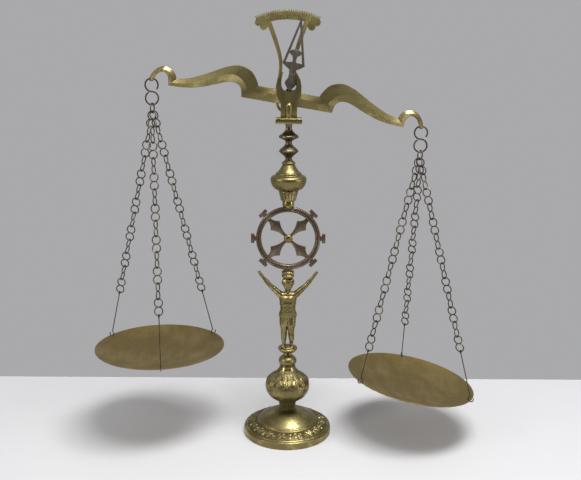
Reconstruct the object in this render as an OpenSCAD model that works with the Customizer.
// Brass weighing scale: a turned column with a standing figure and a wheel,
// a two-armed beam on a knife edge, a pointer, a dial and two hanging pans.
// Millimetres, +Z up, origin under the middle of the base.

/* [Base and lower column] */
// Radius of the round foot
foot_r = 59.3; // [50:1:72]
// Height of the foot, from the table to its neck
foot_h = 33; // [28:1:40]
// Wall of the hollow foot
foot_wall = 3.2; // [2.4:0.1:3.8]
// Height of the fluted collar on the foot
collar_h = 12.5; // [9:0.5:16]
// Largest radius of the lower bulb
bulb_r = 30; // [25:0.5:36]
// Height of the lower bulb
bulb_h = 49.5; // [42:0.5:60]
// Height of the small onion above the lower bulb
knop_h = 18.5; // [15:0.5:23]
// Radius of the dish that the figure stands on
plinth_r = 13; // [12:0.5:16]
// Height of that dish
plinth_h = 8; // [7:0.5:10]
// Radius of the threaded rods that hold the column together
rod_r = 2.5; // [2:0.1:3]

/* [Figure and wheel] */
// Height of the standing figure, feet to top of hair
figure_h = 98; // [84:1:116]
// Radius of the double ring above the head
head_ring_r = 8.5; // [7:0.1:10]
// Height of the double ring
head_ring_h = 9; // [7.5:0.1:11]
// Outer radius of the wheel
wheel_r = 42.2; // [36:0.5:50]
// Radial width of the wheel's rim
wheel_rim_w = 6.9; // [5.6:0.1:8.2]
// Depth of the wheel's rim, front to back
wheel_depth = 7; // [6:0.1:8.4]
// Radius of the boss at the hub
hub_r = 5.8; // [4.8:0.1:7]

/* [Upper column] */
// Height of the fluted cup
cup_h = 13.5; // [11:0.5:17]
// Largest radius of the upper bulb
top_bulb_r = 23.3; // [19.5:0.1:28]
// Height of the upper bulb
top_bulb_h = 21.5; // [18:0.5:26]
// Height of the bell-shaped cap
bell_h = 18; // [15:0.5:22]
// Height of the spindle with its two discs
spindle_h = 46.5; // [39:0.5:56]
// Radius of the spindle's discs
disc_r = 12.3; // [10:0.1:15]

/* [Yoke] */
// Side of the square plate
plate_w = 33.6; // [30:0.1:40]
// Thickness of the square plate
plate_h = 6.8; // [5.5:0.1:8.2]
// Width of the yoke's block
block_w = 20.6; // [17.5:0.1:24]
// Gap between the front and rear cheek
slot_w = 10; // [9:0.1:12]
// Thickness of one cheek
cheek_t = 4; // [3.3:0.1:4.8]
// Thickness of the dial
dial_t = 3; // [2.5:0.1:3.6]
// Radius of the dial's toothed edge, about the pivot
dial_r = 100; // [94:1:110]
// Number of teeth along the dial
dial_teeth = 30; // [20:2:40]
// How far the dial stands off the column's axis
dial_shift = -2; // [-3:0.5:3]

/* [Beam] */
// Distance from the pivot to the hole at either end
arm_l = 172.8; // [170:0.1:176]
// How far the two holes lie below the pivot
hole_drop = 13.3; // [12.8:0.1:13.8]
// Thickness of the beam
beam_t = 7; // [6:0.1:8]
// Angle at which the beam rests on its stop
rest_tilt = 9.6; // [5:0.1:9.6]
// Length of the pointer above the pivot
pointer_l = 92; // [84:1:98]
// Thickness of the pointer
pointer_t = 3; // [2.4:0.1:3.6]

/* [Hangers] */
// Wire radius of the S-shaped hooks
hook_wire_r = 1; // [0.8:0.05:1.1]
// Radius of each loop of a hook, to the middle of the wire
hook_loop_r = 8.2; // [7.6:0.1:9.6]
// Wire radius of the ring that carries three chains
ring_wire_r = 0.85; // [0.7:0.05:1]
// Radius of that ring, to the middle of the wire
ring_r = 5.95; // [5.6:0.05:7]
// Wire radius of the chain links
link_wire_r = 0.75; // [0.6:0.05:0.9]
// Radius of one eye of a link, to the middle of the wire
link_eye_r = 5.4; // [4.6:0.1:6]
// Links in each chain
link_count = 13; // [8:1:13]
// Turn of the left hook about the vertical
left_yaw = 25; // [0:1:30]
// Turn of the right hook about the vertical
right_yaw = 0; // [0:1:30]

/* [Pans] */
// Radius of both pans
pan_r = 86.2; // [78:0.1:96]
// Depth of both pans
pan_depth = 9; // [7:0.5:12]
// Sheet thickness of the left pan
left_pan_t = 1; // [0.8:0.05:1.2]
// Sheet thickness of the right pan, the heavier one
right_pan_t = 1.1; // [1:0.05:1.3]
// Height of the left pan's rim
left_rim_z = 123; // [112:1:135]
// Height of the middle of the right pan's rim
right_rim_z = 78; // [70:1:88]
// Tilt of the right pan, which has unequal wires
right_pan_tilt = 9.8; // [0:0.1:12]
// Wire radius of the hooks through a pan's rim
pan_wire_r = 0.65; // [0.5:0.05:0.8]

/* [Hidden] */

$fn = 48;
eps = 0.01;
old_brass = [0.60, 0.52, 0.27];
dark_brass = [0.42, 0.34, 0.20];
wire_steel = [0.24, 0.21, 0.18];
pan_brass = [0.48, 0.41, 0.22];

// Running and hanging clearances
rod_fit = 0.2;
hang_gap = 0.2;
knife_gap = 0.06;
stop_gap = 0.15;

// Heights of the column, from the table up
z_collar = foot_h;
z_bulb = z_collar + collar_h;
z_knop = z_bulb + bulb_h;
z_plinth = z_knop + knop_h;
z_figure = z_plinth + plinth_h;
z_head_ring = z_figure + figure_h;
saddle_h = 1.3;
z_wheel_low = z_head_ring + head_ring_h + saddle_h;
z_wheel = z_wheel_low + wheel_r;
z_wheel_top = z_wheel + wheel_r;
socket_h = 7.8;
z_cup = z_wheel_top + socket_h;
z_top_bulb = z_cup + cup_h;
z_bell = z_top_bulb + top_bulb_h;
z_spindle = z_bell + bell_h;
z_plate = z_spindle + spindle_h;
z_block = z_plate + plate_h;

// Radii where one turned piece meets the next
neck_r = 11;
collar_top_r = 13;
knop_foot_r = 10;
socket_r = 7.7;
cup_top_r = 12.85;
shoulder_r = 16.5;
bore_r = rod_r + rod_fit;

// Pegs of the figure, which is cast in one piece with them
foot_peg_r = 2;
foot_peg_l = 5;
head_peg_r = 1.8;
wheel_bore_l = 4.4;

// Foot: fixings inside it
boss_r = 8.5;
boss_h = 12;
washer_r = 7;
washer_t = 1.4;
nut_flat = 8;
nut_h = 5;
z_boss = foot_h - boss_h;
z_washer = z_boss - washer_t;
z_nut = z_washer - nut_h;

// Pivot and yoke
pivot_h = 32.7;
z_pivot = z_block + pivot_h;
pivot = [0, 0, z_pivot];
beam_low = 17;
stop_x = block_w / 2;
block_h = pivot_h - beam_low / cos(rest_tilt) - stop_x * tan(rest_tilt) - stop_gap;
cheek_y = slot_w / 2;
screw_r = 1.6;
screw_head_r = 2.9;
screw_head_h = 1.6;
screw_z = z_block + 5;
screw_x = 5.2;

// Knife edge: a prism with its edge down on the pivot line
knife_half = 33;
knife_h = 6;
knife_end = slot_w / 2 + cheek_t + 0.4;
tenon_w = 8;
tenon_h = 9;
root_t = beam_t - 1;
pin_r = 1.2;
pin_z = -5.5;

// Holes at the beam's ends, in the beam's own level frame
throat_r = hook_wire_r + 0.4;
mouth_r = hook_wire_r + 1.75;
tip_half = 2.6;
hook_sink = 0.3;

// Hanging points at rest
function turn_y(p, a) =
    [p.x * cos(a) + p.z * sin(a), p.y, p.z * cos(a) - p.x * sin(a)];
function beam_point(p) = pivot + turn_y(p, rest_tilt);
left_hole = beam_point([-arm_l, 0, -hole_drop]);
right_hole = beam_point([arm_l, 0, -hole_drop]);
ring_drop = hook_sink + 4 * hook_loop_r - hook_wire_r - ring_wire_r - hang_gap + ring_r;
ring_below = [0, 0, -ring_drop];
chain_drop = [0, 0, -ring_drop - ring_r];
left_hang = left_hole + chain_drop;
right_hang = right_hole + chain_drop;

// Chains
eye_dist = 2 * link_eye_r - 0.2;
link_pitch = eye_dist + 2 * link_eye_r - 2 * link_wire_r - hang_gap;
first_eye = link_eye_r - ring_wire_r - link_wire_r - hang_gap;
chain_end = first_eye + (link_count - 1) * link_pitch + eye_dist + link_eye_r;
eye_spread = 2.25;
ring_turn = 52;

// Hooks through the pans' rims
wire_eye_r = 1.85;
rim_loop_r = 3.5;
rim_hole_r = 1.6;
rim_hole_at = pan_r - 3.9;
rim_loop_at = pan_r - 0.7;
rim_drop = 0.9;
rim_loop_up = rim_loop_r - pan_wire_r - rim_drop;
rim_sweep = 300;
wire_eye_at = chain_end - link_wire_r - pan_wire_r - hang_gap + wire_eye_r;

left_pan_at = [left_hang.x, 0, left_rim_z];
right_pan_at = [right_hang.x, 0, right_rim_z];

// Where the three hooks sit round each pan, and which place each chain
// takes along the ring
left_azimuths = [-80, 151, 39];
right_azimuths = [90, 210, 330];
left_places = [-1, 0, 1];
right_places = [1, -1, 0];

// ---------- curves ----------

function spline_at(a, b, c, d, t) =
    0.5 * ((2 * b) + (c - a) * t + (2 * a - 5 * b + 4 * c - d) * t * t
        + (3 * b - a - 3 * c + d) * t * t * t);

// Smooth curve through the points, sharp only at its two ends
function smooth(points, steps = 4) =
    let (last = len(points) - 1)
    [for (i = [0 : last - 1], j = [0 : steps - 1])
        spline_at(points[max(i - 1, 0)], points[i], points[i + 1],
            points[min(i + 2, last)], j / steps),
     points[last]];

function flip(points) = [for (i = [len(points) - 1 : -1 : 0]) [-points[i][0], points[i][1]]];

function unit(v) = v / norm(v);

// Closed band of varying width along a centre line, widths at its points
function band(line, widths) =
    let (
        last = len(line) - 1,
        side = [for (i = [0 : last])
            let (d = unit(line[min(i + 1, last)] - line[max(i - 1, 0)])) [-d[1], d[0]]]
    )
    concat([for (i = [0 : last]) line[i] + side[i] * widths[i]],
        [for (i = [last : -1 : 0]) line[i] - side[i] * widths[i]]);

// ---------- shared shapes ----------

// Turned solid from [radius, height] shares of a size
module turned(points, r, h, bore = 0) {
    sized = [for (p = points) [p[0] * r, p[1] * h]];
    difference() {
        rotate_extrude()
            polygon(concat([[0, 0]], sized, [[0, h]]));
        if (bore > 0)
            translate([0, 0, -1])
                cylinder(r = bore, h = h + 2);
    }
}

// Flat plate in the XZ plane, from y0 back over thickness t
module upright_plate(y0, t) {
    translate([0, y0 + t, 0])
        rotate([90, 0, 0])
            linear_extrude(t)
                children();
}

// Cylinder along Y about the wheel's centre
module wheel_disc(r, depth) {
    translate([0, depth / 2, z_wheel])
        rotate([90, 0, 0])
            cylinder(r = r, h = depth);
}

// Wire bent to a circle in the XZ plane, from angle a over a sweep
module wire_loop(r, wire_r, a = 0, sweep = 360) {
    rotate([90, 0, 0])
        rotate([0, 0, a])
            rotate_extrude(angle = sweep)
                translate([r, 0])
                    circle(r = wire_r, $fn = 24);
}

// ---------- base and lower column ----------

foot_outer = [
    [59.3, 0], [59.3, 7.6], [58.2, 9.2], [56.4, 9.4], [55.8, 9.9], [55.4, 10.6],
    [48.5, 14.2], [40.4, 17.2], [40.2, 18.4], [38.6, 19.3],
    [33.0, 22.6], [26.5, 26.4], [20.0, 29.8], [14.4, 31.9], [11.4, 32.4], [11, 33]];

module base_foot() {
    color(old_brass)
    difference() {
        union() {
            difference() {
                rotate_extrude()
                    polygon(concat([[0, 0]],
                        [for (p = foot_outer) [p[0] * foot_r / 59.3, p[1] * foot_h / 33]],
                        [[0, foot_h]]));
                foot_hollow();
            }
            translate([0, 0, z_boss])
                cylinder(r = boss_r, h = boss_h - foot_wall);
        }
        translate([0, 0, z_boss - 1])
            cylinder(r = bore_r, h = foot_h);
    }
}

// Inside of the foot, a wall in from the outside
module foot_hollow() {
    rim_in = foot_r - foot_wall * 1.6;
    step_in = foot_r * 0.68 - foot_wall;
    rotate_extrude()
        polygon([[0, -1], [rim_in, -1], [rim_in, foot_h * 0.2],
            [foot_r * 0.9 - foot_wall, foot_h * 0.31 - foot_wall * 0.3],
            [step_in, foot_h * 0.5 - foot_wall * 0.6],
            [foot_r * 0.44 - foot_wall, foot_h * 0.78 - foot_wall],
            [foot_r * 0.24, foot_h - foot_wall * 1.3],
            [0, foot_h - foot_wall * 1.3]]);
}

module base_washer() {
    color(dark_brass)
    translate([0, 0, z_washer])
    difference() {
        cylinder(r = washer_r, h = washer_t);
        translate([0, 0, -1])
            cylinder(r = bore_r, h = washer_t + 2);
    }
}

module base_nut() {
    color(dark_brass)
    translate([0, 0, z_nut])
    difference() {
        cylinder(r = nut_flat / 2 / cos(30), h = nut_h, $fn = 6);
        translate([0, 0, -1])
            cylinder(r = rod_r, h = nut_h + 2);
    }
}

module lower_tie_rod() {
    color(dark_brass)
    translate([0, 0, z_nut - 2])
        cylinder(r = rod_r, h = z_figure - foot_peg_l - 1 - z_nut + 2);
}

module lower_collar() {
    flutes = 20;
    flute_r = 0.9;
    color(old_brass)
    translate([0, 0, z_collar])
    difference() {
        cylinder(r1 = neck_r - 0.7, r2 = collar_top_r, h = collar_h);
        translate([0, 0, -1])
            cylinder(r = bore_r, h = collar_h + 2);
        for (i = [0 : flutes - 1])
            rotate([0, 0, i * 360 / flutes])
                translate([neck_r - 0.7 + flute_r * 0.5, 0, 0])
                    rotate([0, atan((collar_top_r - neck_r + 0.7) / collar_h), 0])
                        cylinder(r = flute_r, h = collar_h * 3, center = true);
    }
}

bulb_profile = [[0.433, 0], [0.47, 0.02], [0.63, 0.07], [0.81, 0.155], [0.935, 0.26],
    [0.995, 0.38], [1, 0.45], [0.975, 0.53], [0.9, 0.62], [0.765, 0.7], [0.6, 0.765],
    [0.475, 0.84], [0.4, 0.91], [0.367, 0.96], [0.333, 1]];

module lower_bulb() {
    color(old_brass)
    translate([0, 0, z_bulb])
        turned(smooth(bulb_profile, 2), bulb_r, bulb_h, bore_r);
}

module lower_knop() {
    color(old_brass)
    translate([0, 0, z_knop])
        turned([[0.82, 0], [0.82, 0.04], [0.76, 0.05], [0.76, 0.09], [0.87, 0.14],
            [0.97, 0.27], [1, 0.42], [0.93, 0.56], [0.8, 0.67], [0.6, 0.78],
            [0.45, 0.87], [0.37, 0.95], [0.352, 1]], knop_foot_r / 0.82, knop_h, bore_r);
}

module figure_plinth() {
    color(old_brass)
    translate([0, 0, z_plinth])
    difference() {
        turned([[0.34, 0], [0.6, 0.12], [0.84, 0.36], [0.95, 0.6], [1, 0.76],
            [1, 0.92], [0.96, 1]], plinth_r, plinth_h);
        translate([0, 0, plinth_h - foot_peg_l])
            cylinder(r = foot_peg_r + 0.1, h = foot_peg_l + 1);
        translate([0, 0, -1])
            cylinder(r = rod_r, h = plinth_h - foot_peg_l);
    }
}

// ---------- figure ----------

// Rounded limb between two points given in shares of the figure's height
module limb(a, ra, b, rb) {
    s = figure_h / 98;
    hull() {
        translate(a * s)
            sphere(r = ra * s, $fn = 14);
        translate(b * s)
            sphere(r = rb * s, $fn = 14);
    }
}

module figure_legs() {
    limb([-4.6, 0.4, 44], 6.4, [-6.0, -0.4, 26], 4.3);
    limb([-6.0, -0.4, 26], 4.2, [-6.4, 0.9, 16], 3.8);
    limb([-6.4, 0.9, 16], 3.8, [-6.2, 0.8, 4], 2.4);
    limb([-6.2, 1.6, 2.6], 2.3, [-7.2, -5.0, 2.0], 1.7);
    limb([4.6, 0, 44], 6.3, [6.4, -4.2, 26], 4.2);
    limb([6.4, -4.2, 26], 4.0, [6.0, -1.4, 15], 3.5);
    limb([6.0, -1.4, 15], 3.5, [5.4, 0.6, 4], 2.2);
    limb([5.4, 1.4, 2.6], 2.2, [7.2, -4.6, 2.0], 1.7);
}

module figure_torso() {
    limb([-4.4, 0.6, 44], 7.2, [4.4, 0.4, 44], 7.2);
    limb([0, 0.6, 45], 8.4, [0, 0.2, 55], 7.4);
    limb([-2.6, 0, 55], 7.4, [2.6, 0, 55], 7.4);
    limb([-3.2, 0, 65], 7.4, [3.2, 0, 65], 7.4);
    limb([0, 0, 55], 7.8, [0, 0.2, 66], 8);
    limb([-7.0, 0, 72], 5, [7.0, 0, 72], 5);
    limb([0, 0, 66], 8, [0, 0.4, 74], 5);
}

module figure_arms() {
    for (side = [-1, 1]) {
        limb([side * 9.5, 0, 74], 4.4, [side * 24.5, -0.6, 87.5], 3);
        limb([side * 24.5, -0.6, 87.5], 3, [side * 34, -1.4, 99.5], 2.1);
        limb([side * 34, -1.4, 99.5], 2.1, [side * 38.6, -1.8, 105.4], 1.6);
    }
}

module figure_head() {
    limb([0, 0.4, 76], 4, [0, -0.4, 84], 3.8);
    limb([0, -1.4, 86], 6.6, [0, -1.2, 89.4], 7.6);
    limb([0, 0.6, 88], 8.2, [0, 0.2, 90.2], 8);
    limb([-5.4, 1.2, 86], 6.2, [5.4, 1.2, 86], 6.2);
}

module figure() {
    s = figure_h / 98;
    color(old_brass)
    translate([0, 0, z_figure]) {
        figure_legs();
        figure_torso();
        figure_arms();
        figure_head();
        cylinder(r = 9.5 * s, h = 1.4, $fn = 32);
        translate([0, 0, 0.6 - foot_peg_l])
            cylinder(r = foot_peg_r, h = foot_peg_l, $fn = 24);
        translate([0, 0, figure_h - 8])
            cylinder(r = head_peg_r, h = head_ring_h + saddle_h + wheel_bore_l + 7.4, $fn = 24);
    }
}

module head_ring() {
    color(old_brass)
    difference() {
        union() {
            translate([0, 0, z_head_ring])
                turned([[0.82, 0], [0.97, 0.08], [1, 0.24], [0.97, 0.4], [0.84, 0.47],
                    [0.84, 0.53], [0.98, 0.6], [1.01, 0.76], [0.98, 0.92], [0.8, 1]],
                    head_ring_r, head_ring_h);
            translate([0, 0, z_head_ring + head_ring_h - 1])
                cylinder(r = wheel_depth / 2, h = 4);
        }
        translate([0, 0, z_head_ring - 1])
            cylinder(r = head_peg_r + 0.1, h = 16);
        wheel_disc(wheel_r, 40);
    }
}

// ---------- wheel ----------

module wheel_ring() {
    edge = 2.2;
    half = wheel_depth / 2;
    groove = 0.8;
    inner = wheel_r - wheel_rim_w;
    middle = wheel_r - wheel_rim_w / 2;
    color(dark_brass)
    difference() {
        translate([0, 0, z_wheel])
            rotate([90, 0, 0])
                rotate_extrude($fn = 96)
                    polygon([[inner, -half + edge], [inner + edge / 2, -half + edge / 3],
                        [inner + edge, -half], [middle - groove, -half],
                        [middle, groove - half], [middle + groove, -half],
                        [wheel_r - edge, -half], [wheel_r - edge / 2, -half + edge / 3],
                        [wheel_r, -half + edge], [wheel_r, half - edge],
                        [wheel_r - edge / 2, half - edge / 3], [wheel_r - edge, half],
                        [middle + groove, half], [middle, half - groove],
                        [middle - groove, half], [inner + edge, half],
                        [inner + edge / 2, half - edge / 3], [inner, half - edge]]);
        translate([0, 0, z_wheel_low - 1])
            cylinder(r = head_peg_r + 0.1, h = wheel_bore_l + 1.6);
        translate([0, 0, z_wheel_top - wheel_bore_l])
            cylinder(r = rod_r, h = wheel_bore_l + 1);
    }
}

module wheel_lugs() {
    head_w = 12.2;
    head_t = 4.4;
    stem_l = 2.2;
    stem_w = 6;
    lug_depth = wheel_depth - 2.2;
    color(dark_brass)
    for (a = [0, 45, 135, 180, 225, 315])
        difference() {
            translate([0, 0, z_wheel])
                rotate([0, -a, 0]) {
                    translate([wheel_r - 1, -lug_depth / 2 + 0.6, -stem_w / 2])
                        cube([stem_l + 1 + eps, lug_depth - 1.2, stem_w]);
                    translate([wheel_r + stem_l, -lug_depth / 2, -head_w / 2])
                        cube([head_t, lug_depth, head_w]);
                }
            wheel_disc(wheel_r, 40);
        }
}

// One leaf-shaped arm of the cross, pointing along X
arm_edge = [[2, 1.6], [9, 1.9], [15, 3.2], [20, 5.6], [24.4, 8.4], [27, 5.4], [31, 3], [38, 1.8]];

module wheel_cross() {
    cross_t = wheel_depth - 2.6;
    inner = wheel_r - wheel_rim_w;
    s = inner / 35.3;
    upper = [for (p = arm_edge) p * s];
    lower = [for (i = [len(arm_edge) - 1 : -1 : 0]) [arm_edge[i][0], -arm_edge[i][1]] * s];
    color(dark_brass)
    difference() {
        union() {
            wheel_disc(hub_r - 0.8, cross_t);
            for (a = [45, 135, 225, 315])
                intersection() {
                    translate([0, cross_t / 2, z_wheel])
                        rotate([90, 0, 0])
                            linear_extrude(cross_t)
                                rotate(a)
                                    polygon(concat(upper, lower));
                    wheel_disc(inner, 40);
                }
        }
        wheel_disc(2, 40);
    }
}

module wheel_boss() {
    cross_t = wheel_depth - 2.6;
    color(old_brass)
    translate([0, 0, z_wheel]) {
        rotate([90, 0, 0]) {
            cylinder(r = 1.95, h = cross_t + 2, center = true);
            translate([0, 0, cross_t / 2])
                rotate_extrude()
                    polygon(concat([[0, 0]],
                        [for (a = [0 : 15 : 90]) [hub_r * cos(a), 0.8 + 3.4 * sin(a)]],
                        [[0, 4.2]]));
            translate([0, 0, -cross_t / 2 - 1.4])
                cylinder(r = hub_r - 1.2, h = 1.4);
        }
    }
}

module wheel_socket() {
    color(old_brass)
    difference() {
        translate([0, 0, z_wheel_top - 2])
            turned([[0.8, 0], [0.8, 0.2], [1, 0.3], [1, 1]], socket_r, socket_h + 2);
        wheel_disc(wheel_r, 40);
        translate([0, 0, z_wheel_top - 3])
            cylinder(r = bore_r, h = socket_h + 4);
    }
}

// ---------- upper column ----------

module upper_cup() {
    color(old_brass)
    translate([0, 0, z_cup])
        turned([[0.6, 0], [0.73, 0.03], [0.79, 0.1], [0.8, 0.18], [0.83, 0.34],
            [0.89, 0.56], [0.95, 0.76], [0.98, 0.86], [1.0, 0.9], [1, 0.98], [0.98, 1]],
            cup_top_r, cup_h, bore_r);
}

module upper_bulb() {
    color(old_brass)
    translate([0, 0, z_top_bulb])
        turned([[0.54, 0], [0.63, 0.035], [0.78, 0.13], [0.875, 0.25], [0.95, 0.4],
            [0.99, 0.56], [1, 0.66], [0.99, 0.74], [0.94, 0.84], [0.88, 0.9],
            [0.81, 0.935], [0.74, 0.95], [0.72, 1]], top_bulb_r, top_bulb_h, bore_r);
}

module bell_cap() {
    color(old_brass)
    translate([0, 0, z_bell])
        turned([[1, 0], [1, 0.06], [0.92, 0.11], [0.81, 0.2], [0.7, 0.33], [0.6, 0.48],
            [0.52, 0.62], [0.47, 0.68], [0.53, 0.73], [0.54, 0.79], [0.5, 0.85],
            [0.4, 0.92], [0.33, 0.96], [0.3, 1]], shoulder_r, bell_h, bore_r);
}

// Two discs on a slender neck
spindle_profile = [[0.37, 0], [0.35, 0.05], [0.47, 0.1], [0.68, 0.15], [0.92, 0.205],
    [1, 0.235], [0.97, 0.27], [0.74, 0.33], [0.48, 0.39], [0.36, 0.44], [0.345, 0.5],
    [0.48, 0.54], [0.76, 0.575], [0.99, 0.61], [1.02, 0.64], [0.94, 0.675],
    [0.66, 0.73], [0.44, 0.79], [0.34, 0.85], [0.33, 0.91], [0.36, 0.96], [0.39, 1]];

module spindle() {
    color(old_brass)
    translate([0, 0, z_spindle])
        turned(spindle_profile, disc_r, spindle_h, bore_r);
}

module upper_tie_rod() {
    low = z_wheel_top - wheel_bore_l;
    color(dark_brass)
    translate([0, 0, low])
        cylinder(r = rod_r, h = z_block + block_h - 2 - low);
}

module yoke_plate() {
    edge = 0.8;
    color(old_brass)
    translate([0, 0, z_plate])
    difference() {
        translate([-plate_w / 2, -plate_w / 2, 0])
            cube([plate_w, plate_w, plate_h]);
        translate([0, 0, -1])
            cylinder(r = bore_r, h = plate_h + 2);
        for (a = [0 : 90 : 270], z = [0, plate_h])
            rotate([0, 0, a])
                translate([plate_w / 2, 0, z])
                    rotate([0, 45, 0])
                        cube([edge, plate_w + 2, edge], center = true);
    }
}

// ---------- yoke ----------

module yoke_block() {
    color(old_brass)
    difference() {
        translate([-block_w / 2, -slot_w / 2, z_block])
            cube([block_w, slot_w, block_h]);
        translate([0, 0, z_block - 1])
            cylinder(r = rod_r, h = block_h - 1);
        for (side = [-1, 1])
            translate([side * screw_x, slot_w, screw_z])
                rotate([90, 0, 0])
                    cylinder(r = screw_r + 0.1, h = slot_w * 2);
    }
}

// Right half of a cheek's outline, from the notch out and down.
// x from the middle, z from the pivot.
cheek_outer = [[11.5, 19.5], [14.2, 14.5], [15.6, 6], [15.4, -3], [13.2, -9.5], [10.4, -13.5]];
cheek_inner = [[7.6, 23.4], [8.6, 19.4], [9.8, 12.5], [9.5, 6.6], [7.5, 2.3]];

module cheek_shape() {
    half = block_w / 2;
    right = concat([for (i = [4 : -1 : 1]) cheek_inner[i]],
        smooth([cheek_inner[0], [8.9, 24.4], cheek_outer[0]], 2), cheek_outer,
        [[half, -14.5], [half, -pivot_h]]);
    translate([0, z_pivot])
        polygon(concat([[0, -knife_gap]], right, flip(right)));
}

module front_cheek() {
    rib_r = 4.5;
    color(old_brass)
    difference() {
        union() {
            upright_plate(-cheek_y - cheek_t, cheek_t)
                cheek_shape();
            translate([0, -cheek_y - cheek_t, z_block])
                cylinder(r = rib_r, h = block_h + 1);
            translate([0, -cheek_y - cheek_t, z_block + block_h + 1])
                sphere(r = rib_r);
        }
        translate([-block_w, -cheek_y, z_block - 1])
            cube([block_w * 2, slot_w, pivot_h * 2]);
        for (side = [-1, 1])
            translate([side * screw_x, -cheek_y + 1, screw_z])
                rotate([90, 0, 0])
                    cylinder(r = screw_r, h = cheek_t);
    }
}

module rear_cheek() {
    color(old_brass)
    difference() {
        upright_plate(cheek_y, cheek_t)
            cheek_shape();
        for (side = [-1, 1])
            translate([side * screw_x, cheek_y + cheek_t + 1, screw_z])
                rotate([90, 0, 0])
                    cylinder(r = screw_r + 0.1, h = cheek_t + 2);
    }
}

// ---------- dial ----------

// Centre line of one side of the dial's stem, z from the pivot
stem_line = smooth([[23, 83], [18.2, 71], [13.4, 57], [9.8, 44], [8.6, 34], [9.4, 22],
    [12.2, 10], [13.8, -2], [13.4, -14], [10.2, -22], [4, -26.4]], 3);
stem_widths = [for (i = [0 : len(stem_line) - 1])
    let (share = i / (len(stem_line) - 1)) 1.6 + 1.5 * pow(1 - share, 2)];

dial_half = 24.4;
dial_rim_w = 12;
lobes = [[36.9, 15.6, 4.4], [30, 20.5, 4.8], [24, 17, 4]];
tooth_gap = 0.9;
tooth_h = 2.4;

// Toothed sector, z from the pivot
module dial_sector() {
    teeth = [for (i = [0 : dial_teeth - 1], e = [0, 1])
        let (step = 2 * dial_half / dial_teeth, gap = tooth_gap / dial_r * 90 / PI)
        90 - dial_half + step * (i + e) + (e == 0 ? gap : -gap)];
    outer = [for (i = [0 : dial_teeth - 1])
        let (a = teeth[2 * i], b = teeth[2 * i + 1])
        each concat(
            i == 0 ? [] : [(dial_r - tooth_h) * [cos(a), sin(a)]],
            [dial_r * [cos(a), sin(a)], dial_r * [cos(b), sin(b)]],
            i == dial_teeth - 1 ? [] : [(dial_r - tooth_h) * [cos(b), sin(b)]])];
    inner = [for (i = [24 : -1 : 0])
        let (a = 90 - dial_half + 2 * dial_half * i / 24)
        (dial_r - dial_rim_w) * [cos(a), sin(a)]];
    polygon(concat(outer, inner));
}

module dial() {
    color(old_brass)
    difference() {
        translate([dial_shift, 0, z_pivot])
            union() {
                upright_plate(cheek_y + cheek_t, dial_t)
                    dial_sector();
                for (side = [0, 1], part = [0 : len(lobes)])
                    mirror([side, 0, 0])
                        upright_plate(cheek_y + cheek_t, dial_t)
                            if (part == len(lobes))
                                polygon(band(stem_line, stem_widths));
                            else
                                translate([lobes[part][0], dial_r - lobes[part][1]])
                                    circle(r = lobes[part][2]);
                upright_plate(cheek_y + cheek_t, dial_t)
                    translate([-8.5, -30.5])
                        square([17, 7.4]);
            }
        for (side = [-1, 1])
            translate([side * screw_x, cheek_y + cheek_t + dial_t + 1, screw_z])
                rotate([90, 0, 0])
                    cylinder(r = screw_r + 0.1, h = dial_t + 2);
    }
}

module yoke_screws() {
    shank = cheek_t + dial_t + slot_w + cheek_t - 1.2;
    color(dark_brass)
    for (side = [-1, 1])
        translate([side * screw_x, cheek_y + cheek_t + dial_t, screw_z])
            rotate([90, 0, 0]) {
                cylinder(r = screw_r, h = shank);
                difference() {
                    translate([0, 0, -screw_head_h])
                        cylinder(r = screw_head_r, h = screw_head_h);
                    translate([0, 0, -screw_head_h])
                        cube([screw_head_r * 3, 0.8, 1.2], center = true);
                }
            }
}

// ---------- beam ----------

// One arm's outline in the level frame: up from the middle along the top,
// round the curled end, and back along the underside.
beam_top = smooth([[38.9, 0.3], [42.2, 7], [50.5, 16.6], [65, 20.9], [80, 17.2],
    [92.5, 10.9], [108, 2.6], [124, -4.8], [141.6, -9.4]], 3);
curl_top = smooth([[141.6, -9.4], [144, -3.4], [149.5, 2], [157.5, 4], [166, 0.8],
    [172.4, -6.4], [175.4, -13.6], [175.6, -16]], 3);
curl_under = smooth([[170.2, -16.2], [169.2, -12.4], [165.6, -6.4], [160, -3.4],
    [154.6, -5], [151.8, -10.6], [150.6, -18.6]], 3);
beam_under = smooth([[150.6, -18.6], [134, -18], [118.4, -15.8], [105.6, -12],
    [93, -7.3], [82, -2.8], [73, -0.6], [65.6, -1.8], [60.4, -6.6], [57.9, -beam_low]], 3);

// The curled end follows the hole when the arm's length changes
function to_hole(p) = [p[0] + (arm_l - 172.8), p[1] - (hole_drop - 13.3)];

arm_outline = concat(beam_top,
    [for (p = curl_top) to_hole(p)],
    [to_hole([173.6, -17.2]), to_hole([171.6, -17.2])],
    [for (p = curl_under) to_hole(p)],
    beam_under);

module in_beam_frame() {
    translate(pivot)
        rotate([0, rest_tilt, 0])
            children();
}

module beam() {
    color(old_brass)
    in_beam_frame()
    difference() {
        upright_plate(-beam_t / 2, beam_t)
            polygon(concat(arm_outline, flip(arm_outline)));
        translate([-tenon_w / 2, -pointer_t / 2, -tenon_h])
            cube([tenon_w, pointer_t, tenon_h + 2]);
        translate([0, beam_t, pin_z])
            rotate([90, 0, 0])
                cylinder(r = pin_r, h = beam_t * 2);
        knife_prism(2, 0.4);
        for (side = [-1, 1])
            translate([side * arm_l, 0, -hole_drop])
                rotate([0, 90, side < 0 ? left_yaw : right_yaw])
                    hole_shape();
    }
}

// Hole along X that is narrow in the middle and wide at both mouths
module hole_shape() {
    far = tip_half * 2;
    wide = throat_r + (mouth_r - throat_r) * (far / tip_half);
    rotate_extrude()
        polygon([[0, -far], [wide, -far], [throat_r, -0.3], [throat_r, 0.3], [wide, far], [0, far]]);
}

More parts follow.
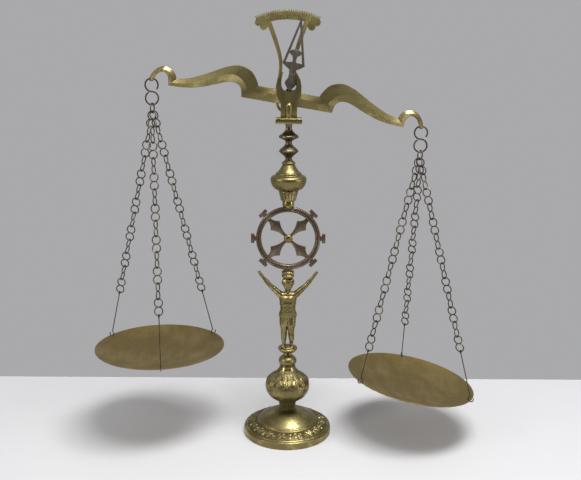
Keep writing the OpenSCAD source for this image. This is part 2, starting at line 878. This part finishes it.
// Prism with its edge down, grown by g on each flank
module knife_prism(longer = 0, g = 0) {
    w = knife_h * tan(knife_half);
    translate([0, knife_end + longer, 0])
        rotate([90, 0, 0])
            linear_extrude(2 * (knife_end + longer))
                polygon([[0, -g * 2], [w + g, knife_h + g], [-w - g, knife_h + g]]);
}

module knife_edge() {
    color(wire_steel)
    in_beam_frame()
        knife_prism();
}

// Half outlines of the pointer, x from its middle and z from the pivot
heart_edge = smooth([[1.2, 2.2], [4.6, 5.4], [7.0, 9.2], [6.6, 12.6], [4.3, 16.4],
    [3.9, 21], [4.4, 27]], 3);
bowl_edge = [[4.4, 27], [8.4, 29.2], [13.8, 33], [14.2, 35.2], [8.6, 35.8], [2.4, 36.4],
    [2.1, 40], [3.2, 43.4], [7.4, 46.6], [7.8, 48.8], [5.2, 51], [1.2, 52.4]];

module pointer_shape() {
    half = concat([[0, 2.2]], heart_edge, bowl_edge, [[0, 52.4]]);
    leg_w = 1.7;
    stretch = pointer_l - 92;
    union() {
        polygon(half);
        mirror([1, 0])
            polygon(half);
        for (side = [0, 1])
            mirror([side, 0])
                polygon([[13.9, 34], [13.9 - 2 * leg_w, 34.6], [0, 80.4 + stretch],
                    [0, pointer_l], [1.5, 86 + stretch]]);
    }
}

module pointer() {
    color(wire_steel)
    in_beam_frame()
    difference() {
        union() {
            upright_plate(-pointer_t / 2, pointer_t)
                pointer_shape();
            intersection() {
                upright_plate(-root_t / 2, root_t)
                    pointer_shape();
                translate([-20, -20, 0.5])
                    cube([40, 40, 21]);
            }
            translate([-tenon_w / 2, -pointer_t / 2, -tenon_h])
                cube([tenon_w, pointer_t, tenon_h + 3]);
        }
        knife_prism(2);
        translate([0, beam_t, pin_z])
            rotate([90, 0, 0])
                cylinder(r = pin_r, h = beam_t * 2);
    }
}

module pointer_pin() {
    color(wire_steel)
    in_beam_frame()
        translate([0, beam_t / 2, pin_z])
            rotate([90, 0, 0])
                cylinder(r = pin_r, h = beam_t);
}

// ---------- hangers ----------

// S of two loops, hanging from the beam's hole; its plane is turned by yaw
module s_hook(hole, yaw) {
    color(wire_steel)
    translate(hole - [0, 0, hook_sink])
        rotate([0, 0, yaw]) {
            translate([0, 0, -hook_loop_r])
                wire_loop(hook_loop_r, hook_wire_r, -40, 310);
            translate([-hook_wire_r, 0, -2 * hook_loop_r])
                rotate([0, 90, 0])
                    cylinder(r = hook_wire_r * 1.15, h = 2 * hook_wire_r);
            translate([0, 0, -3 * hook_loop_r])
                wire_loop(hook_loop_r, hook_wire_r, 120, 330);
        }
}

module hanger_ring(hole, yaw) {
    color(wire_steel)
    translate(hole + ring_below)
        rotate([0, 0, yaw + ring_turn])
            wire_loop(ring_r, ring_wire_r);
}

// Figure-eight link with its upper eye at the origin
module link() {
    wire_loop(link_eye_r, link_wire_r);
    translate([0, 0, -eye_dist])
        wire_loop(link_eye_r, link_wire_r);
}

// Middle of the loop through the rim, at an azimuth of a tilted pan
function rim_point(pan_at, az, tilt, t) =
    pan_at + turn_y([rim_loop_at * cos(az), rim_loop_at * sin(az), rim_loop_up - t], tilt);

// Where a chain's first eye crosses the ring
function ring_place(hang, place, turn) =
    let (a = place * eye_spread / ring_r * 180 / PI)
    hang + ring_r * [sin(a) * cos(turn), sin(a) * sin(turn), 1 - cos(a)];

function lean_of(a, b) = acos((a.z - b.z) / norm(a - b));
function azimuth_of(a, b) = atan2(b.y - a.y, b.x - a.x);

// Frame whose -Z runs from a to b, with +X leaning outward
module along(a, b) {
    translate(a)
        rotate([0, -lean_of(a, b), azimuth_of(a, b)])
            children();
}

module chain(a, b, turn) {
    color(wire_steel)
    along(a, b)
        for (i = [0 : link_count - 1])
            translate([0, 0, -first_eye - i * link_pitch])
                rotate([0, 0, turn - azimuth_of(a, b) + 90 + 90 * i])
                    link();
}

module pan_wire(a, b, turn) {
    far = norm(a - b);
    root = 0.15;
    along(a, b)
        union() {
            translate([0, 0, -wire_eye_at])
                rotate([0, 0, turn - azimuth_of(a, b) + 90 + 90 * link_count])
                    wire_loop(wire_eye_r, pan_wire_r);
            translate([0, 0, -far + rim_loop_r - root])
                cylinder(r = pan_wire_r * 0.97, h = far - rim_loop_r - wire_eye_at - wire_eye_r + 2 * root);
            translate([0, 0, -far])
                wire_loop(rim_loop_r, pan_wire_r, 75, rim_sweep);
        }
}

function left_a(i) = ring_place(left_hang, left_places[i], left_yaw + ring_turn);
function left_b(i) = rim_point(left_pan_at, left_azimuths[i], 0, left_pan_t);
function right_a(i) = ring_place(right_hang, right_places[i], right_yaw + ring_turn);
function right_b(i) = rim_point(right_pan_at, right_azimuths[i], right_pan_tilt, right_pan_t);

module left_chain(i) {
    chain(left_a(i), left_b(i), left_yaw + ring_turn);
}

module right_chain(i) {
    chain(right_a(i), right_b(i), right_yaw + ring_turn);
}

module left_hook() { s_hook(left_hole, left_yaw); }
module left_ring() { hanger_ring(left_hole, left_yaw); }
module left_chain_front() { left_chain(0); }
module left_chain_left() { left_chain(1); }
module left_chain_right() { left_chain(2); }
module right_hook() { s_hook(right_hole, right_yaw); }
module right_ring() { hanger_ring(right_hole, right_yaw); }
module right_chain_back() { right_chain(0); }
module right_chain_left() { right_chain(1); }
module right_chain_right() { right_chain(2); }

module left_pan_wires() {
    color(wire_steel)
    for (i = [0 : 2])
        pan_wire(left_a(i), left_b(i), left_yaw + ring_turn);
}

module right_pan_wires() {
    color(wire_steel)
    for (i = [0 : 2])
        pan_wire(right_a(i), right_b(i), right_yaw + ring_turn);
}

// ---------- pans ----------

// Shallow dish with its rim's upper edge at z = 0
module dish(t, azimuths) {
    steps = 10;
    flat = 0.35;
    inside = [for (i = [0 : steps])
        let (s = flat + (1 - flat) * i / steps)
        [pan_r * s, -pan_depth * (1 - pow((s - flat) / (1 - flat), 2))]];
    difference() {
        rotate_extrude($fn = 96)
            polygon(concat([[0, -pan_depth - t], [0, -pan_depth]], inside,
                [for (i = [steps : -1 : 0]) inside[i] - [0, t]]));
        for (az = azimuths)
            rotate([0, 0, az])
                translate([rim_hole_at, 0, -pan_depth])
                    cylinder(r = rim_hole_r, h = 2 * pan_depth);
    }
}

module left_pan() {
    color(pan_brass)
    translate(left_pan_at)
        dish(left_pan_t, left_azimuths);
}

module right_pan() {
    color(pan_brass)
    translate(right_pan_at)
        rotate([0, right_pan_tilt, 0])
            dish(right_pan_t, right_azimuths);
}

base_foot();
base_washer();
base_nut();
lower_tie_rod();
lower_collar();
lower_bulb();
lower_knop();
figure_plinth();
figure();
head_ring();
wheel_ring();
wheel_lugs();
wheel_cross();
wheel_boss();
wheel_socket();
upper_cup();
upper_bulb();
bell_cap();
spindle();
upper_tie_rod();
yoke_plate();
yoke_block();
front_cheek();
rear_cheek();
dial();
yoke_screws();
beam();
knife_edge();
pointer();
pointer_pin();
left_hook();
left_ring();
left_chain_front();
left_chain_left();
left_chain_right();
left_pan_wires();
left_pan();
right_hook();
right_ring();
right_chain_back();
right_chain_left();
right_chain_right();
right_pan_wires();
right_pan();
